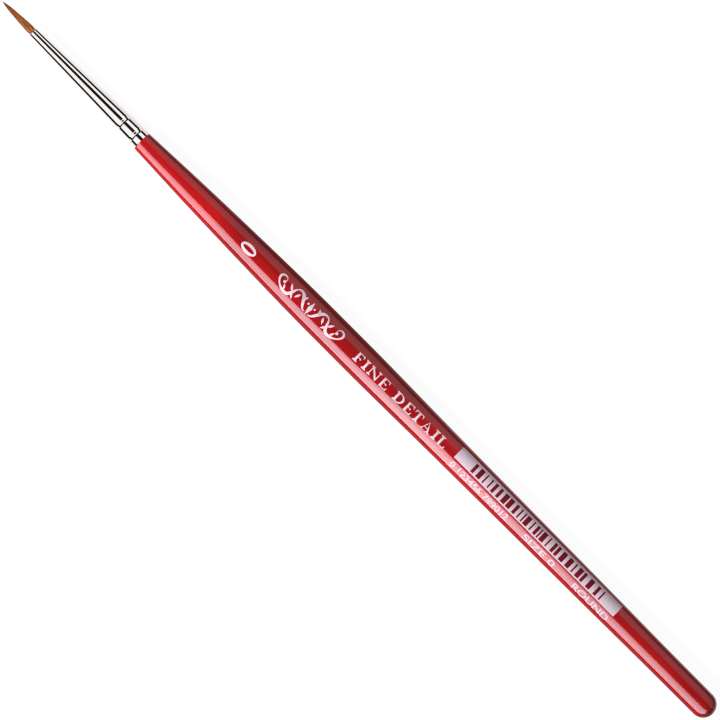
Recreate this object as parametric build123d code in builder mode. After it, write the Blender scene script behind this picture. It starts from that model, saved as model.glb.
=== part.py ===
from build123d import *
import os

# A fine detail brush, lying level: a pointed tuft of filaments, a crimped metal ferrule and a
# turned, lacquered wooden handle. Every size is in millimetres.
# The brush's axis is the X axis, with its point towards -X, and the origin is the middle of its grip,
# the short cylinder where the handle is thickest.
# A station is a distance along the brush, measured from the point of the tuft.

# Whole brush
LENGTH = 173.0
BELLY_RADIUS = 3.01

# Tuft: radii of the bundle outside the ferrule, station by station, and where it bends
POINT_RADIUS = 0.03
TUFT_OUTLINE = [
    (0.7, 0.18),
    (1.4, 0.30),
    (2.5, 0.43),
    (3.75, 0.52),
    (5.15, 0.62),
    (6.6, 0.67),
]
TUFT_PIVOTS = {
    "tuft_heel": 6.6,
    "tuft_belly": 5.15,
    "tuft_shoulder": 3.75,
    "tuft_point": 2.5,
}
PIVOT_GAP = 0.08

# Ferrule: a cone of sheet metal with two crimps
FERRULE_MOUTH = 7.4
FERRULE_BACK = 33.85
MOUTH_RADIUS = 0.72
BACK_RADIUS = 1.35
WALL = 0.14
LIP_ROUNDING = 0.05
CRIMP_STATIONS = [29.35, 32.35]
CRIMP_RADIUS = 0.3
CRIMP_DEPTH = 0.15
CRIMP_SHOULDER = 0.35

# Inside the ferrule
ROOT_RADIUS = 0.62
ROOT_END = 16.5
THREAD_RADIUS = 0.05
THREAD_PITCH = 0.12
THREAD_TURNS = 5
THREAD_START = 15.0
THREAD_POCKET_CLEARANCE = 0.01
RESIN_FRONT = 10.5
RESIN_BACK = 19.0
GLUE = 0.04
TENON_FRONT = 25.5

# Handle: radii of its finished surface at the stations where its curve changes
LACQUER = 0.18
FRONT_EDGE_ROUNDING = 0.25
FRONT_OUTLINE = [(33.85, 1.80), (48.2, 2.375), (62.0, 2.76)]
BELLY_FRONT = 78.5
BELLY_BACK = 87.0
REAR_OUTLINE = [(100.0, 2.88), (117.0, 2.70), (144.0, 2.51)]
TAIL_RADIUS = 2.32
TAIL_CENTRE = LENGTH - TAIL_RADIUS

# Sketches of half a section have the station as x and the distance from the brush's axis as y.
GRIP_CENTRE = (BELLY_FRONT + BELLY_BACK) / 2
SECTION = Plane(origin=(-GRIP_CENTRE, 0, 0), x_dir=(1, 0, 0), z_dir=(0, -1, 0))
BRUSH_AXIS = Axis.X


def ferrule_radius(station):
    """Outer radius of the ferrule's cone."""
    along = (station - FERRULE_MOUTH) / (FERRULE_BACK - FERRULE_MOUTH)
    return MOUTH_RADIUS + along * (BACK_RADIUS - MOUTH_RADIUS)


def inside_ferrule(inset, front=FERRULE_MOUTH, back=FERRULE_BACK):
    """Half section of everything inside the ferrule's outer surface, `inset` under it, crimps included."""
    with BuildSketch(SECTION) as section:
        with BuildLine():
            Polyline(
                (front, 0),
                (front, ferrule_radius(front) - inset),
                (back, ferrule_radius(back) - inset),
                (back, 0),
                close=True,
            )
        make_face()
        crimps = [station for station in CRIMP_STATIONS if front < station < back]
        if crimps:
            before = section.vertices()
            centres = [
                (station, ferrule_radius(station) - CRIMP_DEPTH + CRIMP_RADIUS) for station in crimps
            ]
            with Locations(*centres):
                Circle(CRIMP_RADIUS + inset, mode=Mode.SUBTRACT)
            shoulders = section.vertices() - before
            fillet(shoulders, CRIMP_SHOULDER - inset)
    return section.sketch


def inside_handle(inset):
    """Half section of the turned handle, `inset` under its finished surface, from its front face to its tail."""
    front = FERRULE_BACK + inset
    neck = (front, FRONT_OUTLINE[0][1] - inset)
    tail = (TAIL_CENTRE, TAIL_RADIUS - inset)
    tail_middle = PolarLine((TAIL_CENTRE, 0), TAIL_RADIUS - inset, 45, mode=Mode.PRIVATE) @ 1
    with BuildSketch(SECTION) as section:
        with BuildLine():
            Line((front, 0), neck)
            Spline(
                neck,
                *[(station, radius - inset) for station, radius in FRONT_OUTLINE[1:]],
                (BELLY_FRONT, BELLY_RADIUS - inset),
                tangents=[(1, 0.045), (1, 0)],
            )
            Line((BELLY_FRONT, BELLY_RADIUS - inset), (BELLY_BACK, BELLY_RADIUS - inset))
            Spline(
                (BELLY_BACK, BELLY_RADIUS - inset),
                *[(station, radius - inset) for station, radius in REAR_OUTLINE],
                tail,
                tangents=[(1, 0), (1, 0)],
            )
            ThreePointArc(tail, tail_middle, (LENGTH - inset, 0))
            Line((LENGTH - inset, 0), (front, 0))
        make_face()
        front_edge = section.vertices().group_by(Axis.X)[0].sort_by(Axis.Y)[-1]
        fillet(front_edge, FRONT_EDGE_ROUNDING - inset)
    return section.sketch


def save(piece, name):
    """Name a finished piece and write it to its own file."""
    piece.part.label = name
    export_step(piece.part, f"parts/{name}.step")


os.makedirs("parts", exist_ok=True)

# Handle: one turning, with a tenon that fills the crimped end of the ferrule
with BuildPart() as handle:
    revolve(inside_handle(LACQUER), axis=BRUSH_AXIS)
    revolve(inside_ferrule(WALL + GLUE, front=TENON_FRONT), axis=BRUSH_AXIS)
    with BuildSketch(SECTION) as tenon_foot:
        with BuildLine():
            foot_radius = BACK_RADIUS - WALL - GLUE
            Polyline(
                (FERRULE_BACK, 0),
                (FERRULE_BACK, foot_radius),
                (FERRULE_BACK + LACQUER, foot_radius),
                (FERRULE_BACK + LACQUER, 0),
                close=True,
            )
        make_face()
    revolve(axis=BRUSH_AXIS)
save(handle, "handle")

# Lacquer: a skin over all of the wood behind the ferrule, its front face included
with BuildPart() as handle_lacquer:
    revolve(inside_handle(0), axis=BRUSH_AXIS)
    add(handle.part, mode=Mode.SUBTRACT)
save(handle_lacquer, "handle_lacquer")

# Ferrule: the wall keeps its thickness through the crimps
with BuildPart() as ferrule:
    revolve(inside_ferrule(0), axis=BRUSH_AXIS)
    revolve(inside_ferrule(WALL), axis=BRUSH_AXIS, mode=Mode.SUBTRACT)
    mouth_edges = ferrule.edges().filter_by(GeomType.CIRCLE).group_by(Axis.X)[0]
    fillet(mouth_edges.sort_by(SortBy.RADIUS)[-1], LIP_ROUNDING)
save(ferrule, "ferrule")

# Glue film round the tenon
with BuildPart() as tenon_glue:
    revolve(inside_ferrule(WALL, front=TENON_FRONT), axis=BRUSH_AXIS)
    revolve(inside_ferrule(WALL + GLUE, front=TENON_FRONT), axis=BRUSH_AXIS, mode=Mode.SUBTRACT)
save(tenon_glue, "tenon_glue")

# Root of the tuft: wedged in the ferrule's mouth, and round behind it
with BuildPart() as tuft_root:
    revolve(inside_ferrule(WALL, back=ROOT_END), axis=BRUSH_AXIS)
    with BuildSketch(SECTION) as root_limit:
        with BuildLine():
            Polyline(
                (FERRULE_MOUTH, 0),
                (FERRULE_MOUTH, ROOT_RADIUS),
                (ROOT_END, ROOT_RADIUS),
                (ROOT_END, 0),
                close=True,
            )
        make_face()
    revolve(axis=BRUSH_AXIS, mode=Mode.INTERSECT)
save(tuft_root, "tuft_root")

# Binding thread: close turns round the root
thread_line = Helix(
    pitch=THREAD_PITCH,
    height=THREAD_PITCH * THREAD_TURNS,
    radius=ROOT_RADIUS + THREAD_RADIUS,
    center=SECTION.from_local_coords((THREAD_START, 0, 0)),
    direction=(1, 0, 0),
)
with BuildPart() as binding_thread:
    with BuildSketch(Plane(origin=thread_line @ 0, z_dir=thread_line % 0)):
        Circle(THREAD_RADIUS)
    sweep(path=thread_line, is_frenet=True)
save(binding_thread, "binding_thread")

# Resin plug: round and behind the root, with a pocket that the thread fills
with BuildPart() as resin_plug:
    revolve(inside_ferrule(WALL, front=RESIN_FRONT, back=RESIN_BACK), axis=BRUSH_AXIS)
    add(tuft_root.part, mode=Mode.SUBTRACT)
    with BuildSketch(SECTION) as thread_pocket:
        with BuildLine():
            pocket_front = THREAD_START - THREAD_RADIUS - THREAD_POCKET_CLEARANCE
            pocket_back = pocket_front + THREAD_PITCH * THREAD_TURNS
            pocket_back += 2 * (THREAD_RADIUS + THREAD_POCKET_CLEARANCE)
            pocket_radius = ROOT_RADIUS + 2 * THREAD_RADIUS + THREAD_POCKET_CLEARANCE
            Polyline(
                (pocket_front, 0),
                (pocket_front, pocket_radius),
                (pocket_back, pocket_radius),
                (pocket_back, 0),
                close=True,
            )
        make_face()
    revolve(axis=BRUSH_AXIS, mode=Mode.SUBTRACT)
save(resin_plug, "resin_plug")

# Free tuft: the bundle bends along its length, so it is cut into segments that turn about their
# own pivots. The back of each is a ball about its pivot, and the front is cut flat to clear the next.
pivot_radius = dict(TUFT_OUTLINE)
names = list(TUFT_PIVOTS)
for name, next_name in zip(names, names[1:] + [None]):
    pivot = TUFT_PIVOTS[name]
    radius = pivot_radius[pivot]
    ball_back = (pivot + radius, 0)
    ball_middle = PolarLine((pivot, 0), radius, 45, mode=Mode.PRIVATE) @ 1
    if next_name:
        next_pivot = TUFT_PIVOTS[next_name]
        next_radius = pivot_radius[next_pivot]
        front = next_pivot + next_radius + PIVOT_GAP
        share = (pivot - front) / (pivot - next_pivot)
        side = [(front, radius + share * (next_radius - radius))]
    else:
        front = 0
        side = [point for point in reversed(TUFT_OUTLINE) if point[0] < pivot] + [(front, POINT_RADIUS)]
    with BuildPart() as segment:
        with BuildSketch(SECTION):
            with BuildLine():
                ThreePointArc(ball_back, ball_middle, (pivot, radius))
                Polyline((pivot, radius), *side, (front, 0), ball_back)
            make_face()
        revolve(axis=BRUSH_AXIS)
    save(segment, name)
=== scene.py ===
"""Looks of a fine detail brush: lacquered handle, plated ferrule, filament tuft and printed marks.

Lengths are in metres. A station is a distance along the brush from the point of its tuft, in millimetres.
The brush lies along X, its point towards -X, with the printed marks facing +Z.
"""
import math
import random

import bmesh
import bpy
import numpy as np
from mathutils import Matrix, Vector
from mathutils.geometry import interpolate_bezier


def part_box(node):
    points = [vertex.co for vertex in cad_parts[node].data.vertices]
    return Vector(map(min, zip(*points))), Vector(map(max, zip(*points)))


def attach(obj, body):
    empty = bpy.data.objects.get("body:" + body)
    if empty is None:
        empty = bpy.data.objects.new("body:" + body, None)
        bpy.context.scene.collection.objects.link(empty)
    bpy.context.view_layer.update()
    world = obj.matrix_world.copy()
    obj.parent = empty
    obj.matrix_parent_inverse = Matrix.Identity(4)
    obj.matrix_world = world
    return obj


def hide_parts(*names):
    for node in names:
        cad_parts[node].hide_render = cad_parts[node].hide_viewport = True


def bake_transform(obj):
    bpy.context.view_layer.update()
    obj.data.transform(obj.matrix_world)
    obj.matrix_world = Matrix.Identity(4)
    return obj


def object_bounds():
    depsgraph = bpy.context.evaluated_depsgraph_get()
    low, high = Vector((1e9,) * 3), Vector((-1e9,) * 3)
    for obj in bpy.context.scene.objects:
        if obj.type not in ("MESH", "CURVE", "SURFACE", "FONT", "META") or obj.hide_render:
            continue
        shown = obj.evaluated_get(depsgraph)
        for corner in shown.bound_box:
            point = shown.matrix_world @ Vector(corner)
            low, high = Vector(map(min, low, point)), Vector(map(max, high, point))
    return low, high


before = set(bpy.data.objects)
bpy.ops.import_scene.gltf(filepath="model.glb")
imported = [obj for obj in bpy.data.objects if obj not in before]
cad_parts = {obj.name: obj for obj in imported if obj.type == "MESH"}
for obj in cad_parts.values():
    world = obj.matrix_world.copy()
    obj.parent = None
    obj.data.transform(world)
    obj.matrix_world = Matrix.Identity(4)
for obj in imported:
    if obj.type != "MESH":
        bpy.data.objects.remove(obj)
cad_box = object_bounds()
scene = bpy.context.scene

# -- sizes and places

MM = 0.001
TIP_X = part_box("tuft_point")[0].x
FLOOR_Z = cad_box[0].z


def at(station):
    """X of a station."""
    return TIP_X + station * MM


FERRULE_MOUTH, FERRULE_BACK = (corner.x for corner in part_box("ferrule"))
HANDLE_FRONT, HANDLE_END = (corner.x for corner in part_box("handle_lacquer"))
FERRULE_BACK_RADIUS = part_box("ferrule")[1].z

MOUTH_RADIUS = 0.72 * MM
FERRULE_WALL = 0.14 * MM
LIP_ROUNDING = 0.06 * MM
CRIMPS = [FERRULE_BACK - distance * MM for distance in (4.5, 1.5)]
CRIMP_DEPTH = 0.15 * MM
# Each side of a crimp: where its deepest line lies behind the middle of the crimp, how far it reaches in
# front of that line and behind it, and the share of its reach that is its hollow. Outside, the front of a
# crimp is long and gentle, and its back is short and steep.
CRIMP_OUTSIDE = (0.19 * MM, 0.74 * MM, 0.20 * MM, 0.50)
CRIMP_INSIDE = (0.0, 0.415 * MM, 0.415 * MM, 0.677)
# The mesh is finest from this far in front of a crimp's middle to this far behind it
FINE_FRONT, FINE_BACK = 0.60 * MM, 0.45 * MM
PLAIN_RINGS, FINE_RINGS = 60, 81
# A line of painted shade in each crimp, darkening the plating: how far it lies behind the crimp's middle,
# half its width, and its shade
CRIMP_SHADE_OFFSET, CRIMP_SHADE_HALF, CRIMP_SHADE_LEVEL = 0.17 * MM, 0.10 * MM, 0.05

FRONT_RADIUS = 1.80 * MM
FRONT_ROUNDING = 0.25 * MM
TAIL_RADIUS = 2.32 * MM
TENON_RADIUS = 1.17 * MM
LACQUER = 0.18 * MM

# The tuft: (station, radius in millimetres). Its strands start at the root, inside the ferrule.
TUFT_OUTLINE = [
    (0.0, 0.03),
    (0.7, 0.18),
    (1.4, 0.30),
    (2.5, 0.43),
    (3.75, 0.53),
    (5.15, 0.63),
    (6.4, 0.685),
    (6.95, 0.675),
    (7.25, 0.62),
    (7.38, 0.57),
    (8.4, 0.56),
]
HAIR_ROOT = 8.2

# -- mesh helpers

ROUND_STEPS = 128
SHARP_ABOVE = 40
OUTLINE_STEP = 4 * MM
OUTLINE_SAMPLES = 1400


def new_piece(name, vertices, faces, material, sharp_above=None):
    """A smooth-shaded mesh object. Edges that turn by more than sharp_above degrees stay sharp."""
    mesh = bpy.data.meshes.new(name)
    mesh.from_pydata([tuple(point) for point in vertices], [], faces)
    mesh.validate()
    mesh.shade_smooth()
    if sharp_above:
        mesh.set_sharp_from_angle(angle=math.radians(sharp_above))
    mesh.materials.append(material)
    piece = bpy.data.objects.new(name, mesh)
    scene.collection.objects.link(piece)
    return piece


def turned_ring(name, outline, material):
    """A turning about the X axis. Its outline is a closed loop of (x, radius), none of them on the axis."""
    count = len(outline)
    vertices = []
    for step in range(ROUND_STEPS):
        angle = math.tau * step / ROUND_STEPS
        for x, radius in outline:
            vertices.append((x, radius * math.sin(angle), radius * math.cos(angle)))
    faces = []
    for step in range(ROUND_STEPS):
        here = step * count
        there = (step + 1) % ROUND_STEPS * count
        for i in range(count):
            j = (i + 1) % count
            faces.append((here + i, here + j, there + j, there + i))
    return new_piece(name, vertices, faces, material, SHARP_ABOVE)


def tube_faces(rings, sides):
    """Faces of a tube with closed ends, whose vertices are listed ring by ring."""
    faces = [tuple(range(sides))]
    for low in range(0, (rings - 1) * sides, sides):
        for side in range(sides):
            beside = (side + 1) % sides
            faces.append((low + side, low + sides + side, low + sides + beside, low + beside))
    last = (rings - 1) * sides
    return faces + [tuple(last + side for side in reversed(range(sides)))]


def arc(centre, radius, start, end, steps):
    """Points (x, radius) on an arc. Its angles are in degrees, from +X towards the outside."""
    angles = np.radians(np.linspace(start, end, steps))
    return [(centre[0] + radius * math.cos(a), centre[1] + radius * math.sin(a)) for a in angles]


def inset(outline, depth):
    """The same outline, moved square to itself towards the axis, for the inside of a skin."""
    points = np.array(outline)
    along = np.gradient(points, axis=0)
    along /= np.linalg.norm(along, axis=1)[:, None]
    inward = np.stack([along[:, 1], -along[:, 0]], axis=1)
    return [tuple(point) for point in points + depth * inward]


def smooth_through(points, value):
    """Hermite curve through (place, size) points, which doesn't overshoot between them."""
    places = np.array([p[0] for p in points], float)
    sizes = np.array([p[1] for p in points], float)
    slopes = np.diff(sizes) / np.diff(places)
    tangents = np.zeros(len(points))
    same_way = slopes[:-1] * slopes[1:] > 0
    harmonic = 2 * slopes[:-1] * slopes[1:] / np.where(same_way, slopes[:-1] + slopes[1:], 1)
    tangents[1:-1] = np.where(same_way, harmonic, 0)
    tangents[0], tangents[-1] = slopes[0], slopes[-1]
    i = int(np.clip(np.searchsorted(places, value) - 1, 0, len(slopes) - 1))
    span = places[i + 1] - places[i]
    t = float(np.clip((value - places[i]) / span, 0, 1))
    return (
        sizes[i] * (2 * t**3 - 3 * t**2 + 1)
        + span * tangents[i] * (t**3 - 2 * t**2 + t)
        + sizes[i + 1] * (3 * t**2 - 2 * t**3)
        + span * tangents[i + 1] * (t**3 - t**2)
    )


def outer_radii(node, step):
    """(x, outer radius) along a CAD node, one for each step along X, read from its own surface."""
    points = np.array([vertex.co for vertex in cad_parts[node].data.vertices])
    radii = np.hypot(points[:, 1], points[:, 2])
    largest = {}
    for i, place in enumerate(np.round(points[:, 0] / step).astype(int)):
        if place not in largest or radii[i] > radii[largest[place]]:
            largest[place] = i
    return [(points[i, 0], radii[i]) for _, i in sorted(largest.items())]


HANDLE_OUTLINE = outer_radii("handle_lacquer", OUTLINE_STEP)
HANDLE_PLACES = np.linspace(HANDLE_OUTLINE[0][0], HANDLE_OUTLINE[-1][0], OUTLINE_SAMPLES)
HANDLE_RADII = [smooth_through(HANDLE_OUTLINE, x) for x in HANDLE_PLACES]


def handle_radius(x):
    """Outer radius of the lacquered handle between its front rounding and its tail dome."""
    return float(np.interp(x, HANDLE_PLACES, HANDLE_RADII))


# -- materials


class Nodes:
    """A node tree that is written in the order in which it is read."""

    def __init__(self, tree):
        self.tree = tree
        tree.nodes.clear()

    def add(self, kind, inputs=None, **settings):
        """A node; inputs maps socket names or numbers to values or to other nodes' outputs."""
        node = self.tree.nodes.new(kind)
        for key, value in settings.items():
            setattr(node, key, value)
        for key, value in (inputs or {}).items():
            if self.is_socket(value):
                self.tree.links.new(value, node.inputs[key])
            else:
                node.inputs[key].default_value = value
        return node

    def math(self, operation, a, b=0.0):
        """The result of a Math node."""
        return self.add("ShaderNodeMath", {0: a, 1: b}, operation=operation).outputs[0]

    def ramp(self, factor, stops):
        """The colour of a ramp; stops are (position, colour)."""
        node = self.add("ShaderNodeValToRGB", {0: factor})
        elements = node.color_ramp.elements
        while len(elements) < len(stops):
            elements.new(1.0)
        for element, (position, colour) in zip(elements, stops):
            element.position = position
            element.color = (*colour, 1)
        return node.outputs[0]

    def vector(self, operation, a, b):
        """The result of a Vector Math node."""
        return self.add("ShaderNodeVectorMath", {0: a, 1: b}, operation=operation).outputs[0]

    def rescale(self, value, low, high, to_low=0.0, to_high=1.0, kind="LINEAR"):
        """A value moved from one range to another, and kept inside it."""
        settings = {"Value": value, "From Min": low, "From Max": high, "To Min": to_low, "To Max": to_high}
        return self.add("ShaderNodeMapRange", settings, interpolation_type=kind).outputs[0]

    def coordinate(self, axis):
        """X, Y or Z of the point that is shaded."""
        place = self.add("ShaderNodeTexCoord").outputs["Object"]
        return self.add("ShaderNodeSeparateXYZ", {0: place}).outputs[axis]

    def streaks(self, stretch, detail=3.0):
        """Noise that is stretched differently along X, Y and Z, in features a metre."""
        place = self.add("ShaderNodeTexCoord").outputs["Object"]
        scaled = self.add("ShaderNodeMapping", {"Vector": place, "Scale": stretch}).outputs[0]
        settings = {"Vector": scaled, "Scale": 1.0, "Detail": detail, "Roughness": 0.55}
        return self.add("ShaderNodeTexNoise", settings).outputs[0]

    def table(self, rows, value):
        """A number that changes with a value, as rows of (value, number) say."""
        first, last = rows[0][0], rows[-1][0]
        low = min(number for _, number in rows)
        reach = max(number for _, number in rows) - low
        stops = [((place - first) / (last - first), ((number - low) / reach,) * 3) for place, number in rows]
        share = self.rescale(value, first, last)
        return self.math("ADD", self.math("MULTIPLY", self.ramp(share, stops), reach), low)

    def station_table(self, rows):
        """A number that changes with the station, as rows of (station, number) say."""
        from_tip = self.math("SUBTRACT", self.coordinate("X"), TIP_X)
        return self.table(rows, self.math("MULTIPLY", from_tip, 1 / MM))

    def step_up(self, value, edge, softness):
        """Rises smoothly from 0 to 1 where a value passes an edge."""
        low = self.math("SUBTRACT", edge, softness) if self.is_socket(edge) else edge - softness
        high = self.math("ADD", edge, softness) if self.is_socket(edge) else edge + softness
        return self.rescale(value, low, high, kind="SMOOTHSTEP")

    def band(self, value, low, high, soft_low, soft_high):
        """1 where a value lies between two edges and 0 outside them. Each edge has its own softness."""
        rising = self.step_up(value, low, soft_low)
        return self.math("SUBTRACT", rising, self.step_up(value, high, soft_high))

    @staticmethod
    def is_socket(value):
        """Whether a value is another node's output."""
        return isinstance(value, bpy.types.NodeSocket)

    def bump(self, height, strength, distance):
        """A normal that is disturbed by a height."""
        settings = {"Height": height, "Strength": strength, "Distance": distance}
        return self.add("ShaderNodeBump", settings).outputs[0]


def new_material(name):
    """A material with an empty node tree, and that tree."""
    material = bpy.data.materials.new(name)
    material.use_nodes = True
    return material, Nodes(material.node_tree)


def finish_surface(nodes, **inputs):
    """Ends a material in a Principled shader."""
    sockets = {key.replace("_", " "): value for key, value in inputs.items()}
    shader = nodes.add("ShaderNodeBsdfPrincipled", sockets)
    nodes.add("ShaderNodeOutputMaterial", {"Surface": shader.outputs[0]})


# The lacquer's red is darker over the belly than at the neck and the tail: (station, share of the full red)
RED_ALONG_HANDLE = [(33.8, 1.0), (51.0, 1.0), (57.0, 0.76), (98.0, 0.78), (108.0, 0.98), (173.0, 0.95)]


def red_lacquer():
    """Clear, hard gloss over deep red, with the grain of the wood faintly in it, lengthwise."""
    material, nodes = new_material("red_lacquer")
    grain = nodes.streaks((55, 2600, 2600), detail=4.0)
    patches = nodes.streaks((90, 500, 500), detail=2.0)
    mixed = nodes.math("ADD", nodes.math("MULTIPLY", grain, 0.7), nodes.math("MULTIPLY", patches, 0.3))
    tone = nodes.ramp(
        mixed,
        [(0.30, (0.38, 0.0030, 0.0045)), (0.50, (0.50, 0.0060, 0.0080)), (0.72, (0.60, 0.0120, 0.0120))],
    )
    colour = nodes.vector("MULTIPLY", tone, nodes.station_table(RED_ALONG_HANDLE))
    fine = nodes.streaks((70, 5200, 5200), detail=2.0)
    finish_surface(
        nodes,
        Base_Color=colour,
        Roughness=0.45,
        Specular_IOR_Level=0.0,
        Normal=nodes.bump(fine, 0.10, 0.01 * MM),
        Coat_Weight=1.0,
        Coat_Roughness=0.018,
    )
    return material


def nickel_plate():
    """Mirror-bright plating, with faint lengthwise draw lines, dull patches and a line of painted shade in
    each crimp.
    """
    material, nodes = new_material("nickel_plate")
    lines = nodes.streaks((90, 9000, 9000), detail=3.0)
    dulling = nodes.streaks((500, 900, 900), detail=3.0)
    roughness = nodes.ramp(dulling, [(0.35, (0.03,) * 3), (0.75, (0.09,) * 3)])
    colour = nodes.ramp(dulling, [(0.3, (0.84, 0.82, 0.81)), (0.8, (0.80, 0.78, 0.77))])
    x = nodes.coordinate("X")
    # Painted shade: a thin line in the bottom of each crimp darkens the plating's colour
    for crimp in CRIMPS:
        away = nodes.math("ABSOLUTE", nodes.math("SUBTRACT", x, crimp + CRIMP_SHADE_OFFSET))
        unshaded = nodes.rescale(away, CRIMP_SHADE_HALF / 2, CRIMP_SHADE_HALF, CRIMP_SHADE_LEVEL, 1.0)
        colour = nodes.vector("MULTIPLY", colour, unshaded)
    finish_surface(
        nodes,
        Base_Color=colour,
        Metallic=1.0,
        Roughness=roughness,
        Normal=nodes.bump(lines, 0.06, 0.01 * MM),
    )
    return material


# Near its point the tuft has less of its full colour: (share of POINT_REACH, shares of red, green and blue)
POINT_REACH = 8.0
POINT_COLOURS = [
    (0.00, (0.22, 0.26, 0.45)),
    (0.10, (0.55, 0.42, 0.60)),
    (0.22, (0.82, 0.60, 0.70)),
    (0.42, (0.95, 0.90, 0.92)),
    (0.60, (1.00, 1.00, 1.00)),
]


def filament():
    """Warm brown synthetic hair. Neighbouring strands share a shade, and the point is dark and reddish."""
    material, nodes = new_material("filament")
    # U is nearly the same for neighbouring strands, and V is the station, so shading follows a bent strand
    place = nodes.add("ShaderNodeUVMap", uv_map=STRAND_MAP).outputs[0]
    station = nodes.add("ShaderNodeSeparateXYZ", {0: place}).outputs["Y"]
    scaled = nodes.add("ShaderNodeMapping", {"Vector": place, "Scale": (12.0, 0.22, 1.0)}).outputs[0]
    shade = nodes.add("ShaderNodeTexNoise", {"Vector": scaled, "Scale": 1.0, "Detail": 2.0}).outputs[0]
    strand = nodes.ramp(
        shade,
        [(0.32, (0.12, 0.034, 0.012)), (0.47, (0.30, 0.094, 0.031)), (0.66, (0.47, 0.165, 0.058))],
    )
    towards_point = nodes.ramp(nodes.math("DIVIDE", station, POINT_REACH), POINT_COLOURS)
    colour = nodes.vector("MULTIPLY", strand, towards_point)
    finish_surface(nodes, Base_Color=colour, Roughness=0.45, Specular_IOR_Level=0.12)
    return material


def packed_filament():
    """Filaments packed side by side in the ferrule, seen as fine lengthwise lines."""
    material, nodes = new_material("packed_filament")
    strands = nodes.streaks((60, 14000, 14000), detail=2.0)
    colour = nodes.ramp(strands, [(0.35, (0.13, 0.04, 0.015)), (0.65, (0.42, 0.14, 0.05))])
    finish_surface(nodes, Base_Color=colour, Roughness=0.5, Normal=nodes.bump(strands, 0.5, 0.03 * MM))
    return material


def bare_wood():
    """Pale, close-grained beech, with short dark flecks along the grain."""
    material, nodes = new_material("bare_wood")
    grain = nodes.streaks((45, 1600, 1600), detail=5.0)
    flecks = nodes.streaks((700, 5200, 5200), detail=1.0)
    dark = nodes.math("MULTIPLY", nodes.math("GREATER_THAN", flecks, 0.66), 0.25)
    tone = nodes.math("SUBTRACT", grain, dark)
    colour = nodes.ramp(
        tone,
        [(0.25, (0.36, 0.20, 0.10)), (0.60, (0.62, 0.42, 0.25)), (0.80, (0.70, 0.50, 0.32))],
    )
    finish_surface(nodes, Base_Color=colour, Roughness=0.65, Normal=nodes.bump(grain, 0.3, 0.04 * MM))
    return material


def cured(name, dark, light, roughness, scale):
    """A cured resin or glue: cloudy colour with small bubbles."""
    material, nodes = new_material(name)
    clouds = nodes.streaks((scale,) * 3, detail=3.0)
    bubbles = nodes.streaks((scale * 9,) * 3, detail=0.0)
    colour = nodes.ramp(clouds, [(0.3, dark), (0.7, light)])
    finish_surface(nodes, Base_Color=colour, Roughness=roughness, Normal=nodes.bump(bubbles, 0.2, 0.02 * MM))
    return material


def thread():
    """Off-white twisted thread."""
    material, nodes = new_material("thread")
    twist = nodes.streaks((9000, 9000, 9000), detail=2.0)
    colour = nodes.ramp(twist, [(0.3, (0.60, 0.57, 0.50)), (0.7, (0.86, 0.84, 0.78))])
    finish_surface(nodes, Base_Color=colour, Roughness=0.85, Normal=nodes.bump(twist, 0.6, 0.03 * MM))
    return material


def printing_ink(name, dark, light, relief):
    """Satin printing ink, a little uneven, as it is when it is stamped on."""
    material, nodes = new_material(name)
    cover = nodes.streaks((1500, 4000, 4000), detail=3.0)
    finish_surface(
        nodes,
        Base_Color=nodes.ramp(cover, [(0.3, dark), (0.7, light)]),
        Roughness=0.5,
        Specular_IOR_Level=0.2,
        Normal=nodes.bump(cover, relief, 0.01 * MM),
    )
    return material


STRAND_MAP = "strand"
LACQUER_RED = red_lacquer()
NICKEL = nickel_plate()
FILAMENT = filament()
INK = printing_ink("silver_ink", (0.80, 0.64, 0.74), (0.90, 0.74, 0.83), relief=0.1)
BAR_INK = printing_ink("crimson_ink", (0.21, 0.008, 0.022), (0.27, 0.012, 0.030), relief=0.0)

INNER_MATERIALS = {
    "handle": bare_wood(),
    "tenon_glue": cured("glue", (0.52, 0.46, 0.30), (0.80, 0.74, 0.55), 0.55, 900),
    "tuft_root": packed_filament(),
    "binding_thread": thread(),
    "resin_plug": cured("resin", (0.30, 0.14, 0.03), (0.56, 0.32, 0.09), 0.25, 600),
}
for node, material in INNER_MATERIALS.items():
    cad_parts[node].data.materials.clear()
    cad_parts[node].data.materials.append(material)

# -- ferrule


def crimp_drop(offset, deepest, front_reach, back_reach, hollow_share):
    """How far the surface lies under the plain cone, at an offset along X from a crimp's middle."""
    distance = abs(offset - deepest)
    reach = front_reach if offset < deepest else back_reach
    if distance >= reach:
        return 0.0
    # The hollow is one arc, and the shoulder is an arc the other way: these are their radii
    both = (reach**2 + CRIMP_DEPTH**2) / (2 * CRIMP_DEPTH)
    hollow = both * hollow_share
    shoulder = both - hollow
    if distance < reach * hollow_share:
        return CRIMP_DEPTH - hollow + math.sqrt(hollow**2 - distance**2)
    return shoulder - math.sqrt(shoulder**2 - (reach - distance) ** 2)


def ferrule_radius(x, crimp_shape):
    """Radius of the cone with its crimps, outside or inside."""
    share = (x - FERRULE_MOUTH) / (FERRULE_BACK - FERRULE_MOUTH)
    cone = MOUTH_RADIUS + share * (FERRULE_BACK_RADIUS - MOUTH_RADIUS)
    return cone - sum(crimp_drop(x - crimp, *crimp_shape) for crimp in CRIMPS)


def ferrule_places():
    """X of the ferrule's rings: close together in the crimps, wider apart on the plain cone."""
    plain = np.linspace(FERRULE_MOUTH + LIP_ROUNDING, FERRULE_BACK, PLAIN_RINGS)
    places = [x for x in plain if all(not -FINE_FRONT <= x - crimp <= FINE_BACK for crimp in CRIMPS)]
    for crimp in CRIMPS:
        places += list(np.linspace(crimp - FINE_FRONT, crimp + FINE_BACK, FINE_RINGS))
    return sorted(places)


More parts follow.
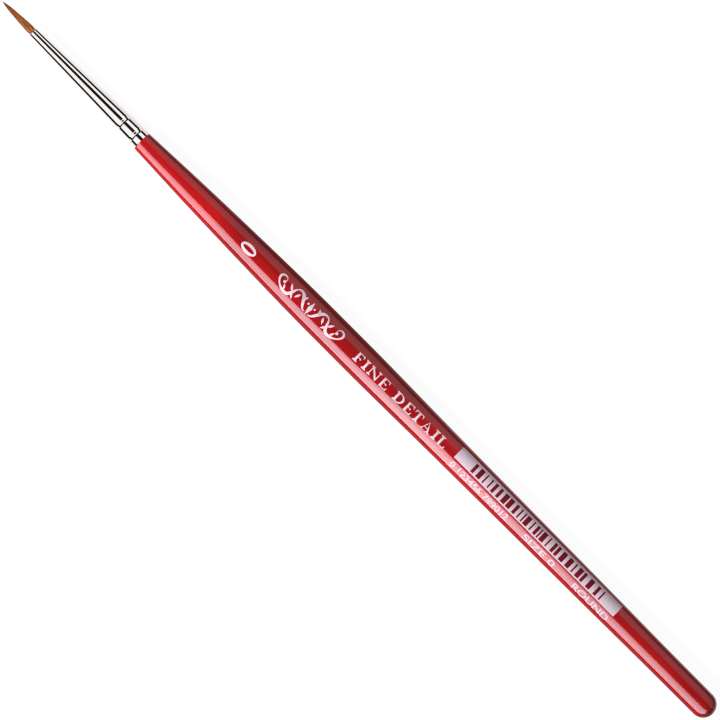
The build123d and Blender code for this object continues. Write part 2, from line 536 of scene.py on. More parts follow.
def make_ferrule():
    """The plated tube, with a rolled lip and crimps that show inside and out."""
    places = ferrule_places()
    outside = [(x, ferrule_radius(x, CRIMP_OUTSIDE)) for x in places]
    inside = [(x, ferrule_radius(x, CRIMP_INSIDE) - FERRULE_WALL) for x in places]
    lip_centre = (FERRULE_MOUTH + LIP_ROUNDING, outside[0][1] - LIP_ROUNDING)
    lip = arc(lip_centre, LIP_ROUNDING, start=270, end=90, steps=12)
    piece = turned_ring("crimped_ferrule", lip + outside[1:] + inside[::-1], NICKEL)
    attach(piece, "brush_body")
    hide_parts("ferrule")


make_ferrule()

# -- lacquered handle

# Its long side starts behind the rounded front edge and ends before the dome, with this much between them
SIDE_GAP = 0.3 * MM
FACE_RINGS, SIDE_RINGS = 6, 240


def make_handle():
    """The gloss skin over the wood, from its face behind the ferrule to the dome at its end."""
    corner = (HANDLE_FRONT + FRONT_ROUNDING, FRONT_RADIUS - FRONT_ROUNDING)
    face = [(HANDLE_FRONT, radius) for radius in np.linspace(TENON_RADIUS, corner[1], FACE_RINGS)[:-1]]
    edge = arc(corner, FRONT_ROUNDING, start=180, end=95, steps=10)
    dome_centre = HANDLE_END - TAIL_RADIUS
    places = np.linspace(edge[-1][0] + SIDE_GAP, dome_centre - SIDE_GAP, SIDE_RINGS)
    side = [(x, handle_radius(x)) for x in places]
    dome = arc((dome_centre, 0), TAIL_RADIUS, start=90, end=0.1, steps=40)
    outside = face + edge + side + dome
    piece = turned_ring("lacquered_handle", outside + inset(outside, LACQUER)[::-1], LACQUER_RED)
    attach(piece, "brush_body")
    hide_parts("handle_lacquer")


make_handle()

# -- tuft

HAIR_SEED = 7
CLUMPS = 26
STRAND_SIDES = 5
STRAND_RINGS = 15
STRAND_RADIUS = 0.034
# A strand is thinner towards its end: its share of the radius there, the length over which it thickens and
# how, and the radius of its very tip
END_SHARE, TAPER, TAPER_POWER, TIP_RADIUS = 0.22, 3.2, 0.6, 0.004
# Strands turn by 72 degrees from side to side, and by 90 at their cut ends
SHARP_ENDS = 80

# Layers of strands: share of the bundle's radius, number of strands, and stations of the first and last end
HAIR_LAYERS = [
    (1.00, 84, 0.0, 2.2),
    (0.93, 78, 0.1, 2.8),
    (0.78, 60, 0.2, 2.4),
    (0.55, 40, 0.1, 2.0),
    (0.25, 22, 0.0, 1.5),
]
# Pieces of the tuft: name, the bodies behind and ahead of the joint that it bends across, the stations of
# its back and front, and those where its bend starts and ends. Each replaces the node of the body ahead.
HAIR_PIECES = [
    ("hair_heel", "brush_body", "tuft_heel", HAIR_ROOT, 5.88, 7.35, 5.90),
    ("hair_belly", "tuft_heel", "tuft_belly", 5.88, 4.45, 5.86, 4.47),
    ("hair_shoulder", "tuft_belly", "tuft_shoulder", 4.45, 3.12, 4.43, 3.14),
    ("hair_point", "tuft_shoulder", "tuft_point", 3.12, 0.0, 3.10, 1.90),
]


def make_strands():
    """Strands as dictionaries: where each one lies round the tuft, how deep, and where it ends."""
    draw = random.Random(HAIR_SEED)
    clumps = [draw.random() for _ in range(CLUMPS)]
    strands = []
    for depth, count, first_end, last_end in HAIR_LAYERS:
        for i in range(count):
            strands.append(
                {
                    "turn": math.tau * (i + draw.uniform(-0.35, 0.35)) / count,
                    "depth": depth + draw.uniform(-0.04, 0.02),
                    "end": first_end + (last_end - first_end) * draw.random() ** 1.7,
                    "wander": draw.uniform(-0.10, 0.10),
                    "wave": draw.uniform(2.5, 6.0),
                    "phase": draw.uniform(0, math.tau),
                    "number": clumps[int(CLUMPS * (i + 0.5) / count)] + draw.uniform(-0.02, 0.02),
                }
            )
    return strands


def strand_centre(strand, station):
    """Middle of a strand at a station, as (Y, Z) in millimetres, and the strand's radius there."""
    grown = max((station - strand["end"]) / TAPER, 0.0) ** TAPER_POWER
    thickness = STRAND_RADIUS * min(1.0, END_SHARE + (1 - END_SHARE) * grown)
    distance = max(smooth_through(TUFT_OUTLINE, station) * strand["depth"] - thickness, 0.0)
    turn = strand["turn"] + strand["wander"] * math.sin(math.tau * station / strand["wave"] + strand["phase"])
    if station <= strand["end"]:
        thickness = TIP_RADIUS
    return distance * math.sin(turn), distance * math.cos(turn), thickness


def strand_tube(strand, back, front):
    """Vertices, faces and (U, V) of the stretch of a strand between two stations."""
    front = max(front, strand["end"])
    if front >= back:
        return [], [], []
    vertices, places = [], []
    for station in np.linspace(back, front, STRAND_RINGS):
        y, z, thickness = strand_centre(strand, station)
        for side in range(STRAND_SIDES):
            angle = math.tau * side / STRAND_SIDES + strand["phase"]
            around = (y + thickness * math.sin(angle), z + thickness * math.cos(angle))
            vertices.append((at(station), around[0] * MM, around[1] * MM))
            places.append((strand["number"], station))
    return vertices, tube_faces(STRAND_RINGS, STRAND_SIDES), places


def make_hair():
    """The tuft, in four pieces that meet at the same rings."""
    strands = make_strands()
    for name, behind, ahead, back, front, bend_start, bend_end in HAIR_PIECES:
        vertices, faces, places = [], [], []
        for strand in strands:
            more, tube, where = strand_tube(strand, back, front)
            first = len(vertices)
            vertices += more
            faces += [tuple(first + i for i in face) for face in tube]
            places += where
        piece = new_piece(name, vertices, faces, FILAMENT, SHARP_ENDS)
        layer = piece.data.uv_layers.new(name=STRAND_MAP)
        for loop in piece.data.loops:
            layer.data[loop.index].uv = places[loop.vertex_index]
        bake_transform(piece)
        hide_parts(ahead)


make_hair()

# -- printed marks

# A mark is drawn flat, as polygons of (u, v) in millimetres: u is a station, and v is measured round
# the handle from its top line, towards +Y. It is then cut into small faces and laid on the handle.
INK_HEIGHT = 0.004 * MM
INK_THICKNESS = 0.008 * MM
CUT_ALONG, CUT_ROUND = 1.5, 0.16
SAME_CORNER = 0.0001

# How much bolder Blender's own font is drawn
FIGURE_BOLDNESS = 0.022
# The size figure, a 0: its middle, half its length and width, and the share of them that is its opening
ZERO_MIDDLE, ZERO_HALF, ZERO_OPENING = (60.1, -0.1), (1.60, 0.91), (0.76, 0.40)
ZERO_STEPS = 48

# Half of the ornament, measured from its middle: the corners of a pen line of four cubic curves, its widths
# along the way, leaves as (u, v, length, width, turn in degrees), and dots as (u, v, radius)
ORNAMENT_MIDDLE = (74.75, 0.15)
SCROLL = [
    (0.35, -1.00),
    (1.50, -1.45), (1.75, 1.35), (3.05, 1.25),
    (4.40, 1.15), (3.75, -1.15), (5.20, -1.15),
    (6.70, -1.15), (8.10, 0.35), (7.25, 1.05),
    (6.65, 1.50), (5.75, 0.80), (6.30, 0.20),
]
SCROLL_WIDTHS = [0.08, 0.50, 0.56, 0.22, 0.56, 0.56, 0.24, 0.42, 0.34, 0.12, 0.10]
SCROLL_STEPS = 25
LEAVES = [
    (2.05, 0.05, 1.35, 0.46, 118),
    (2.75, 0.55, 1.25, 0.40, -62),
    (4.35, -0.10, 1.35, 0.44, 52),
    (4.15, -0.35, 1.05, 0.36, -128),
    (5.55, -0.95, 1.10, 0.36, 62),
]
DOTS = [(6.32, 0.22, 0.27), (0.75, 0.42, 0.20)]
LOZENGE = [(0.0, 1.40), (-0.42, 0.0), (0.0, -1.40), (0.42, 0.0)]

PANEL_START, PANEL_END, PANEL_LOW, PANEL_HIGH = 110.25, 148.95, -0.35, 2.36
BARS_START, BARS_END, BARS_LOW, BARS_HIGH = 113.9, 145.2, -0.08, 1.84
BAR_SEED, BAR_UNIT, BAR_CLEARANCE = 12, 0.30, 0.004

# Capitals are one unit high: widths of their thick and thin strokes, how far a serif stands out and how thick
# it is at its root, and for the tick that ends an arm, its width and its tip's reach past the arm and back
STEM, HAIRLINE, SERIF, SERIF_ROOT = 0.18, 0.08, 0.11, 0.192
TICK, TICK_PAST, TICK_BACK = 0.11, 0.015, 0.025
LETTER_GAP, WORD_SPACE = 0.16, 0.55

# Lines of type: name, text, stations of its start and end
SMALL_PRINT = [
    ("code_figures", "0 123456 789012", 110.5, 124.2),
    ("size_words", "SIZE 0", 128.2, 135.6),
    ("shape_words", "ROUND", 140.2, 148.6),
]
SMALL_PRINT_LOW, SMALL_PRINT_HIGH = -2.10, -0.85


def extent(drawing):
    """The least and the greatest (u, v) of a flat drawing."""
    corners = np.array([vertex.co[:2] for vertex in drawing.verts])
    return corners.min(axis=0), corners.max(axis=0)


def cut_fine(drawing):
    """Cuts a flat drawing along a grid, so that it can follow the round surface."""
    low, high = extent(drawing)
    for axis, step in ((0, CUT_ALONG), (1, CUT_ROUND)):
        for line in np.arange(low[axis] + step, high[axis], step):
            point, normal = [0, 0, 0], [0, 0, 0]
            point[axis], normal[axis] = line, 1
            everything = drawing.verts[:] + drawing.edges[:] + drawing.faces[:]
            bmesh.ops.bisect_plane(drawing, geom=everything, plane_co=point, plane_no=normal)


def print_mark(name, drawing, ink=INK):
    """Lays a flat drawing on the handle as a thin closed layer of ink."""
    bmesh.ops.remove_doubles(drawing, verts=drawing.verts[:], dist=SAME_CORNER)
    cut_fine(drawing)
    drawing.verts.index_update()
    vertices = []
    for height in (INK_HEIGHT, INK_HEIGHT + INK_THICKNESS):
        for vertex in drawing.verts:
            x = at(vertex.co.x)
            surface = handle_radius(x)
            angle = vertex.co.y * MM / surface
            radius = surface + height
            vertices.append((x, radius * math.sin(angle), radius * math.cos(angle)))
    count = len(drawing.verts)
    rim = {frozenset(v.index for v in edge.verts) for edge in drawing.edges if edge.is_boundary}
    faces = []
    for face in drawing.faces:
        face.normal_update()
        corners = [vertex.index for vertex in face.verts]
        if face.normal.z < 0:
            corners.reverse()
        faces.append([count + i for i in corners])
        faces.append(corners[::-1])
        for first, second in zip(corners, corners[1:] + corners[:1]):
            if frozenset((first, second)) in rim:
                faces.append((first, second, count + second, count + first))
    piece = new_piece(name, vertices, faces, ink, SHARP_ABOVE)
    drawing.free()
    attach(piece, "brush_body")


def draw_polygons(polygons):
    """A flat drawing from lists of (u, v)."""
    drawing = bmesh.new()
    for polygon in polygons:
        drawing.faces.new([drawing.verts.new((u, v, 0)) for u, v in polygon])
    return drawing


def box_shape(u0, v0, u1, v1):
    """A rectangle as a polygon."""
    return [(u0, v0), (u1, v0), (u1, v1), (u0, v1)]


def placed(shapes, u, v=0.0, scale_u=1.0, scale_v=1.0):
    """The same polygons, scaled and then moved by (u, v)."""
    return [[(u + x * scale_u, v + y * scale_v) for x, y in shape] for shape in shapes]


def mirrored(shapes, middle=0.0):
    """The same polygons, mirrored left to right."""
    return [[(2 * middle - u, v) for u, v in reversed(shape)] for shape in shapes]


def oval(middle, half_u, half_v, steps):
    """Points round an ellipse. The last is the first again."""
    angles = [math.tau * step / steps for step in range(steps + 1)]
    return [(middle[0] + half_u * math.cos(a), middle[1] + half_v * math.sin(a)) for a in angles]


def ribbon(points, widths):
    """Four-sided polygons along a line whose width changes."""
    points = np.array(points)
    along = np.gradient(points, axis=0)
    along /= np.linalg.norm(along, axis=1)[:, None]
    across = np.stack([-along[:, 1], along[:, 0]], axis=1) * np.array(widths)[:, None] / 2
    left, right = points + across, points - across
    return [[right[i], right[i + 1], left[i + 1], left[i]] for i in range(len(points) - 1)]


def draw_figures(text, start, end, v_low, v_high):
    """Plain figures or words in Blender's own font, fitted between two stations and two heights."""
    curve = bpy.data.curves.new("figures", "FONT")
    curve.body = text
    curve.offset = FIGURE_BOLDNESS
    holder = bpy.data.objects.new("figures", curve)
    scene.collection.objects.link(holder)
    mesh = bpy.data.meshes.new_from_object(holder.evaluated_get(bpy.context.evaluated_depsgraph_get()))
    bpy.data.objects.remove(holder)
    drawing = bmesh.new()
    drawing.from_mesh(mesh)
    low, high = extent(drawing)
    for vertex in drawing.verts:
        across, up = (np.array(vertex.co[:2]) - low) / (high - low)
        vertex.co = (start + across * (end - start), v_low + up * (v_high - v_low), 0)
    return drawing


def draw_size_figure():
    """The figure 0, with its length along the brush and thicker sides."""
    outer = oval(ZERO_MIDDLE, *ZERO_HALF, ZERO_STEPS)
    opening = [half * share for half, share in zip(ZERO_HALF, ZERO_OPENING)]
    inner = oval(ZERO_MIDDLE, *opening, ZERO_STEPS)
    return draw_polygons([[outer[i], outer[i + 1], inner[i + 1], inner[i]] for i in range(ZERO_STEPS)])


def swelling_line(corners, widths):
    """A pen line through cubic curves. Its corners are a start, and then three points for each curve."""
    points = [Vector((*corner, 0)) for corner in corners]
    line = []
    for i in range(0, len(points) - 1, 3):
        curve = interpolate_bezier(*points[i : i + 4], SCROLL_STEPS)
        line += curve[bool(line) :]
    shares = np.linspace(0, 1, len(line))
    pen = np.interp(shares, np.linspace(0, 1, len(widths)), widths)
    return ribbon([point.xy for point in line], pen)


def leaf(u, v, length, width, turn):
    """A pointed leaf from its stalk at (u, v), as four-sided polygons."""
    along = Vector((math.cos(math.radians(turn)), math.sin(math.radians(turn))))
    shares = np.linspace(0, 1, 15)
    line = [Vector((u, v)) + along * length * share for share in shares]
    return ribbon(line, width * np.sin(np.pi * shares**0.8) + 0.01)


def draw_ornament():
    """A scroll with leaves, the same on both sides of a lozenge: an ornament, not writing."""
    half = swelling_line(SCROLL, SCROLL_WIDTHS)
    for values in LEAVES:
        half += leaf(*values)
    half += [oval((u, v), radius, radius, steps=24)[:-1] for u, v, radius in DOTS]
    return draw_polygons(placed(half + mirrored(half) + [LOZENGE], *ORNAMENT_MIDDLE))


def bar_places():
    """Where each bar starts and ends. The bars only stand for a retail code: they encode nothing."""
    draw = random.Random(BAR_SEED)
    places, u = [], BARS_START
    while u < BARS_END - 4 * BAR_UNIT:
        bar = BAR_UNIT * draw.choice([1, 1, 1, 2, 3])
        places.append((u, u + bar))
        u += bar + BAR_UNIT * draw.choice([1, 2, 2, 3])
    return places + [(BARS_END - BAR_UNIT, BARS_END)]


def draw_panel():
    """The panel, with an opening for each bar."""
    polygons = [
        box_shape(PANEL_START, PANEL_LOW, PANEL_END, BARS_LOW),
        box_shape(PANEL_START, BARS_HIGH, PANEL_END, PANEL_HIGH),
    ]
    starts = [PANEL_START] + [end for _, end in bar_places()]
    ends = [start for start, _ in bar_places()] + [PANEL_END]
    for start, end in zip(starts, ends):
        polygons.append(box_shape(start, BARS_LOW, end, BARS_HIGH))
    return draw_polygons(polygons)


def draw_bars():
    """The bars in the panel's openings."""
    gap = BAR_CLEARANCE
    low, high = BARS_LOW + gap, BARS_HIGH - gap
    return draw_polygons([box_shape(start + gap, low, end - gap, high) for start, end in bar_places()])


def stem(left, width=STEM, top=True, bottom=True):
    """An upright stroke, with a thin serif each side of its top and its bottom."""
    right = left + width
    shapes = [box_shape(left, 0, right, 1)]
    for level, inward, wanted in ((0, 1, bottom), (1, -1, top)):
        if wanted:
            thin, thick = level + inward * HAIRLINE, level + inward * SERIF_ROOT
            shapes.append([(left - SERIF, level), (left, level), (left, thick), (left - SERIF, thin)])
            shapes.append([(right, level), (right + SERIF, level), (right + SERIF, thin), (right, thick)])
    return shapes


def arm(left, right, level, tick):
    """A thin arm, with a slanted tick at its right end, up or down."""
    half = HAIRLINE / 2
    root = level + math.copysign(half, tick)
    tip = root + tick
    end = [(right - TICK, root), (right, root), (right + TICK_PAST, tip), (right - TICK_BACK, tip)]
    return [box_shape(left, level - half, right, level + half), end]


def capitals():
    """Polygons and width of each plain serif capital that the words use."""
    left, right = SERIF, SERIF + STEM
    low, high = HAIRLINE / 2, 1 - HAIRLINE / 2
    middle_arm = arm(right, right + 0.26, 0.52, -0.10)
    t_middle, n_end = 0.38, 0.82
    t_arm = arm(t_middle + STEM / 2, 0.76, high, -0.22)
    n_stems = stem(left, HAIRLINE) + stem(n_end, HAIRLINE, bottom=False)
    n_slant = [(left + HAIRLINE, 1), (left + HAIRLINE, 0.76), (n_end, 0), (n_end, 0.24)]
    a_strokes = [
        [(0.10, 0), (0.16, 0), (0.44, 0.90), (0.41, 1)],
        [(0.41, 1), (0.44, 0.90), (0.66, 0), (0.84, 0)],
        box_shape(0.235, 0.30, 0.588, 0.30 + HAIRLINE),
    ]
    a_feet = [(0.02, 0.10), (0.16, 0.25), (0.56, 0.66), (0.84, 0.92)]
    a_serifs = [box_shape(start, 0, end, HAIRLINE) for start, end in a_feet]
    angles = np.radians(np.linspace(90, -90, 25))
    d_bowl = [(right + 0.50 * math.cos(a), 0.5 + 0.47 * math.sin(a)) for a in angles]
    d_widths = [HAIRLINE + (STEM - HAIRLINE) * math.cos(a) ** 2 for a in angles]
    e_arms = arm(right, right + 0.42, high, -0.20) + middle_arm + arm(right, right + 0.45, low, 0.22)
    f_arms = arm(right, right + 0.40, high, -0.20) + middle_arm
    return {
        "A": (a_strokes + a_serifs, 0.94),
        "D": (stem(left) + ribbon(d_bowl, d_widths), right + 0.62),
        "E": (stem(left, top=False, bottom=False) + e_arms, right + 0.46),
        "F": (stem(left, top=False) + f_arms, right + 0.44),
        "I": (stem(left), right + SERIF),
        "L": (stem(left, bottom=False) + arm(right, right + 0.42, low, 0.22), right + 0.44),
        "N": (n_stems + [n_slant], n_end + HAIRLINE + SERIF),
        "T": (stem(t_middle - STEM / 2, top=False) + t_arm + mirrored(t_arm, t_middle), 0.78),
    }


def draw_words(text, start, end, v_low, v_high):
    """Plain serif capitals between two stations and two heights."""
    letters = capitals()
    laid, cursor = [], 0.0
    for letter in text:
        if letter == " ":
            cursor += WORD_SPACE
            continue
        polygons, width = letters[letter]
        laid += placed(polygons, cursor)
        cursor += width + LETTER_GAP
    stretch = (end - start) / (cursor - LETTER_GAP)
    return draw_polygons(placed(laid, start, v_low, stretch, v_high - v_low))


print_mark("size_figure", draw_size_figure())
print_mark("leaf_scroll", draw_ornament())
print_mark("plain_words", draw_words("FINE DETAIL", 85.9, 107.9, -0.80, 1.02))
print_mark("bar_panel", draw_panel())
print_mark("bar_lines", draw_bars(), BAR_INK)
for name, text, start, end in SMALL_PRINT:
    print_mark(name, draw_figures(text, start, end, SMALL_PRINT_LOW, SMALL_PRINT_HIGH))

# -- stage

VIEW_TURN = math.radians(45.09)
VIEW_CENTRE_X = at(87.08)
VIEW_HALF_WIDTH = 61.92 * MM
# In millimetres, as Blender has them
LENS, SENSOR = 400.0, 36.0

# How brightly the table glows for the camera and for everything else
FLOOR_GLOW, FLOOR_GLOW_ELSEWHERE = 0.95, 0.50
FLOOR_REACH = 12.0
# The table has a painted shadow close to the ferrule, where it is a little darker: how far from its middle,
# and how much, by station
SHADE_REACH = [(0, 0.40 * MM), (8, 0.92 * MM), (34, 1.60 * MM)]
SHADE_DEPTH = [(3, 0.0), (9, 0.16), (30, 0.34), (35, 0.34), (37, 0.0)]
# How the shade fades across its edge: (share of its softness beyond the edge, share of its depth)
SHADE_EDGE = [(-1.0, 1.0), (-0.3, 0.8), (0.3, 0.3), (1.0, 0.0)]
SHADE_TINT = (0.80, 1.0, 1.03)
SHADE_SHIFT, SHADE_SOFTNESS = -0.15 * MM, 0.4 * MM

# Ambient light, and two square lights: where each one hangs, what it points at, and its power in watts
AMBIENT = 0.17
LIGHT_SIZE = 0.16
KEY_LIGHT = ((-0.12, -0.20, 0.26), (0.0, 0.0, 0.0), 1.5)
HAIR_LIGHT = ((-0.08, 0.01, 0.26), (-0.08, 0.0, 0.0), 0.88)

# A light tent is a long, thin-walled tube round the brush, which is seen only in the gloss of the pieces
# that it lights. Its angles are in degrees from straight up, positive towards -Y.
FERRULE_TENT_RADIUS, HANDLE_TENT_RADIUS = 30 * MM, 33 * MM
TENT_FRONT, TENT_BACK = at(-150), at(330)
TENT_SIDES = 96

# Where the handle's softbox has its two edges, and how bright it is, all by station
SOFTBOX_LOW = [(30, 32), (52, 33), (60, 42), (86, 41), (97, 32), (108, 27), (150, 24), (180, 24)]
SOFTBOX_HIGH = [(30, 89), (50, 93), (110, 94), (150, 89), (180, 87)]
SOFTBOX_GLOW = [
    (30, 7.6), (60, 8.2), (75, 9.2), (86, 9.8), (100, 11.2), (112, 11.2), (135, 9.8), (155, 8.8), (180, 8.6)
]
SOFTBOX_SOFTNESS = (3, 2)
# How its brightness changes across its width: (angle, share)
SOFTBOX_ACROSS = [(20, 0.48), (34, 0.62), (48, 0.78), (62, 1.0), (71, 0.85), (80, 0.84), (89, 0.98)]
SOFTBOX_TINT = (0.99, 0.98, 1.08)
SOFTBOX_ENDS = [(-60, 0.0), (-40, 1.0), (200, 1.0), (228, 0.45), (242, 0.0)]
# Its cloth hangs in folds: the least and the most of its brightness
FOLDS = (0.92, 1.06)
# The rest of the room: a dim card, and the table on the handle's far and near sides, by the angles of
# their edges. The far side of the table is dark under the belly.
CARD_LOW, CARD_HIGH, CARD_SOFTNESS, CARD_GLOW = -89, -33, (1.5, 14), 0.75
FAR_TABLE, FAR_SOFTNESS = -119, 3
NEAR_TABLE, NEAR_SOFTNESS, NEAR_GLOW = 112, 6, 0.15
FAR_GLOW = [
    (32, 0.62), (41, 0.37), (48, 0.26), (55, 0.18), (62, 0.06), (70, 0.02),
    (86, 0.02), (93, 0.15), (98, 0.28), (104, 0.40), (112, 0.50), (180, 0.50),
]
ROOM_ENDS = [(-149, 0.0), (-120, 1.0), (236, 1.0), (255, 0.0)]
HAZE = 0.13

# The ferrule's tent is bright, with a dark slot over the ferrule, dark stripes low on both sides and a
# dark end beyond the tuft
FERRULE_GLOW, LEAST_SHARE, UNDER_DIMMING = 1.17, 0.012, 0.40
FERRULE_TINT = (1.0, 0.965, 0.955, 1)
SLOT_LOW, SLOT_HIGH, SLOT_SOFTNESS = [(7, -44), (34, -39)], [(7, 10), (34, 8)], (2, 2)
# The slot is bright in this gap, which shows behind the crimps
GAP_FRONT, GAP_BACK, GAP_SOFTNESS = at(35.6), at(43.0), (1 * MM, 1 * MM)
STRIPE_START, STRIPE_END, STRIPE_SOFTNESS = [(7, 78), (34, 91)], 157, (2, 6)
DARK_END_START, DARK_END_BACK, DARK_END_SOFTNESS = at(-90.0), at(-18.0), (1.5 * MM, 1.5 * MM)


def make_camera():
    """Looks straight down, turned so that the brush runs from the upper left to the lower right."""
    camera = bpy.data.objects.new("camera", bpy.data.cameras.new("camera"))
    scene.collection.objects.link(camera)
    camera.data.lens = LENS
    camera.data.sensor_width = SENSOR
    camera.location = (VIEW_CENTRE_X, 0, VIEW_HALF_WIDTH / (SENSOR / 2 / LENS))
    camera.rotation_euler = (0, 0, VIEW_TURN)
    camera.data.clip_start = 0.01
    camera.data.clip_end = 50.0
    scene.camera = camera


def make_floor():
    """A plain white table that is nearly shadowless but for a painted shadow beside the ferrule, and isn't
    seen in the brush's gloss.
    """
    material, nodes = new_material("floor_white")
    to_camera = nodes.add("ShaderNodeLightPath").outputs["Is Camera Ray"]
    # Painted shadow: the table's glow is dimmed and tinted in a band beside the ferrule
    across = nodes.math("ABSOLUTE", nodes.math("ADD", nodes.coordinate("Y"), SHADE_SHIFT))
    beyond = nodes.math("SUBTRACT", across, nodes.station_table(SHADE_REACH))
    edge = nodes.table(SHADE_EDGE, nodes.math("DIVIDE", beyond, SHADE_SOFTNESS))
    shade = nodes.math("MULTIPLY", edge, nodes.station_table(SHADE_DEPTH))
    finish_surface(
        nodes,
        Base_Color=(0.09, 0.09, 0.09, 1),
        Roughness=0.9,
        Specular_IOR_Level=0.0,
        Emission_Color=nodes.vector("SUBTRACT", (1, 1, 1), nodes.vector("MULTIPLY", SHADE_TINT, shade)),
        Emission_Strength=nodes.rescale(to_camera, 0, 1, FLOOR_GLOW_ELSEWHERE, FLOOR_GLOW),
    )
    corners = [(-1, -1), (1, -1), (1, 1), (-1, 1)]
    vertices = [(x * FLOOR_REACH, y * FLOOR_REACH, FLOOR_Z) for x, y in corners]
    floor = new_piece("floor", vertices, [(0, 1, 2, 3)], material)
    floor.visible_glossy = False


def grouped(name, receivers):
    """A collection that holds the pieces which a light reaches."""
    group = bpy.data.collections.new(name)
    for piece in receivers:
        group.objects.link(piece)
    return group


def make_light(name, place, target, power, receivers):
    """A square soft light, which shows in nothing's gloss: the two light tents do that."""
    data = bpy.data.lights.new(name, "AREA")
    data.size = LIGHT_SIZE
    data.energy = power
    light = bpy.data.objects.new(name, data)
    scene.collection.objects.link(light)
    light.location = place
    light.rotation_euler = (Vector(target) - Vector(place)).to_track_quat("-Z", "Y").to_euler()
    light.visible_glossy = False
    light.visible_camera = False
    light.light_linking.receiver_collection = grouped(name, receivers)


def make_world():
    """White behind everything, soft ambient light, and nothing to see in the brush's gloss."""
    world = bpy.data.worlds.new("studio")
    scene.world = world
    world.use_nodes = True
    world.cycles.sampling_method = "NONE"
    nodes = Nodes(world.node_tree)
    path = nodes.add("ShaderNodeLightPath")
    ambient, dark, behind = (
        nodes.add("ShaderNodeBackground", {"Color": (1, 1, 1, 1), "Strength": strength}).outputs[0]
        for strength in (AMBIENT, 0.0, 1.0)
    )
    lit = nodes.add("ShaderNodeMixShader", {0: path.outputs["Is Glossy Ray"], 1: ambient, 2: dark}).outputs[0]
    seen = nodes.add("ShaderNodeMixShader", {0: path.outputs["Is Camera Ray"], 1: lit, 2: behind}).outputs[0]
    nodes.add("ShaderNodeOutputWorld", {"Surface": seen})


def make_tent(name, radius, receivers, shade):
    """A light tent. shade gets its nodes and the angle, and gives the glow's strength and colour there."""
    material, nodes = new_material(name)
    material.cycles.emission_sampling = "NONE"
    opposite = nodes.math("MULTIPLY", nodes.coordinate("Y"), -1.0)
    angle = nodes.math("ARCTAN2", opposite, nodes.coordinate("Z"))
    strength, tint = shade(nodes, nodes.math("MULTIPLY", angle, math.degrees(1.0)))
    glow = nodes.add("ShaderNodeEmission", {"Strength": strength, "Color": tint})
    clear = nodes.add("ShaderNodeBsdfTransparent")
    both = nodes.add("ShaderNodeAddShader", {0: glow.outputs[0], 1: clear.outputs[0]})
    nodes.add("ShaderNodeOutputMaterial", {"Surface": both.outputs[0]})
    around = [math.tau * side / TENT_SIDES for side in range(TENT_SIDES)]
    ends = (TENT_FRONT, TENT_BACK)
    vertices = [(x, radius * math.sin(turn), radius * math.cos(turn)) for x in ends for turn in around]
    tent = new_piece(name, vertices, tube_faces(len(ends), TENT_SIDES), material)
    tent.visible_camera = False
    tent.visible_diffuse = False
    tent.visible_shadow = False
    tent.visible_transmission = False
    tent.light_linking.receiver_collection = grouped(name, receivers)


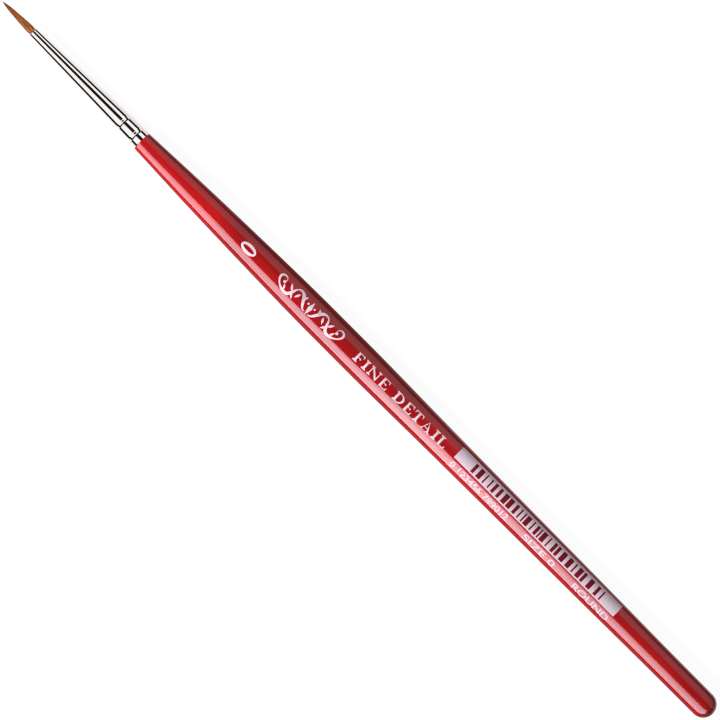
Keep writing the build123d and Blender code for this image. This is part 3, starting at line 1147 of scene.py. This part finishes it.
def shade_handle_tent(nodes, angle):
    """One long softbox on the -Y side, a dim card on the +Y side, the table below and some haze."""
    low, high = nodes.station_table(SOFTBOX_LOW), nodes.station_table(SOFTBOX_HIGH)
    softbox = nodes.band(angle, low, high, *SOFTBOX_SOFTNESS)
    folds = nodes.rescale(nodes.streaks((3, 420, 420), detail=3.0), 0.3, 0.7, *FOLDS)
    along = [nodes.station_table(SOFTBOX_GLOW), nodes.station_table(SOFTBOX_ENDS)]
    for factor in (*along, nodes.table(SOFTBOX_ACROSS, angle), folds):
        softbox = nodes.math("MULTIPLY", softbox, factor)
    card = nodes.math("MULTIPLY", nodes.band(angle, CARD_LOW, CARD_HIGH, *CARD_SOFTNESS), CARD_GLOW)
    far_table = nodes.math("SUBTRACT", 1.0, nodes.step_up(angle, FAR_TABLE, FAR_SOFTNESS))
    far_table = nodes.math("MULTIPLY", far_table, nodes.station_table(FAR_GLOW))
    near_table = nodes.math("MULTIPLY", nodes.step_up(angle, NEAR_TABLE, NEAR_SOFTNESS), NEAR_GLOW)
    room = nodes.math("ADD", nodes.math("ADD", card, far_table), near_table)
    room = nodes.math("MULTIPLY", room, nodes.station_table(ROOM_ENDS))
    tint = nodes.ramp(softbox, [(0.0, (1, 1, 1)), (1.0, SOFTBOX_TINT)])
    return nodes.math("ADD", nodes.math("ADD", softbox, room), HAZE), tint


def shade_ferrule_tent(nodes, angle):
    """Bright all round but for the slot, the stripes and the end beyond the tuft."""
    x = nodes.coordinate("X")
    steep = nodes.math("ABSOLUTE", angle)
    low, high = nodes.station_table(SLOT_LOW), nodes.station_table(SLOT_HIGH)
    outside_gap = nodes.math("SUBTRACT", 1.0, nodes.band(x, GAP_FRONT, GAP_BACK, *GAP_SOFTNESS))
    slot = nodes.math("MULTIPLY", nodes.band(angle, low, high, *SLOT_SOFTNESS), outside_gap)
    stripes = nodes.band(steep, nodes.station_table(STRIPE_START), STRIPE_END, *STRIPE_SOFTNESS)
    dark_end = nodes.band(x, DARK_END_START, DARK_END_BACK, *DARK_END_SOFTNESS)
    dark = nodes.math("MAXIMUM", nodes.math("MAXIMUM", slot, stripes), dark_end)
    under = nodes.math("MULTIPLY", nodes.step_up(steep, STRIPE_END, STRIPE_SOFTNESS[1]), UNDER_DIMMING)
    bright = nodes.math("SUBTRACT", 1.0, nodes.math("MAXIMUM", dark, under))
    return nodes.math("MULTIPLY", nodes.math("MAXIMUM", bright, LEAST_SHARE), FERRULE_GLOW), FERRULE_TINT


def made_of(pieces, *materials):
    """Those of the pieces whose material is one of these."""
    return [piece for piece in pieces if piece.data.materials and piece.data.materials[0] in materials]


make_camera()
make_floor()
make_world()
pieces = [piece for piece in scene.objects if piece.type == "MESH" and piece.name != "floor"]
plated, printed, hair = made_of(pieces, NICKEL), made_of(pieces, INK, BAR_INK), made_of(pieces, FILAMENT)
others = [piece for piece in pieces if piece not in plated + printed]
make_tent("handle_tent", HANDLE_TENT_RADIUS, others, shade_handle_tent)
make_tent("ferrule_tent", FERRULE_TENT_RADIUS, plated, shade_ferrule_tent)
not_hair = [piece for piece in scene.objects if piece.type == "MESH" and piece not in hair]
make_light("key", *KEY_LIGHT, not_hair)
make_light("hair_light", *HAIR_LIGHT, hair)
scene.view_settings.view_transform = "Standard"
scene.cycles.use_denoising = True
scene.cycles.filter_width = 1.25
